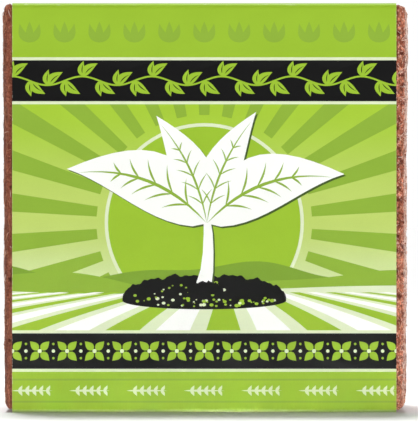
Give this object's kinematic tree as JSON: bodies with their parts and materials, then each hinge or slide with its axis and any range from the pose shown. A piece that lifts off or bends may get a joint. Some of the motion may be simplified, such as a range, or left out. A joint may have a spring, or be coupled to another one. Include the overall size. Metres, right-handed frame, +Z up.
{
  "type": "coconut coir bale",
  "caption": "Pressed bale of coconut coir standing on edge in a folded printed card sleeve, with rough bare ends, for soaking into growing medium.",
  "frame": {"origin": "middle of the surface that the bale stands on: the outside of the sleeve's bottom panel", "axes": "+Z up along the bale's height, X from one bare end to the other, -Y out of the front panel, the pressed thickness along Y"},
  "size_m": [0.2953, 0.1204, 0.3],
  "materials": {
    "coir": "matte",
    "printed_card": "satin"
  },
  "bodies": {
    "root": {"coir_block": "coir", "card_sleeve": "printed_card"}
  },
  "joints": []
}
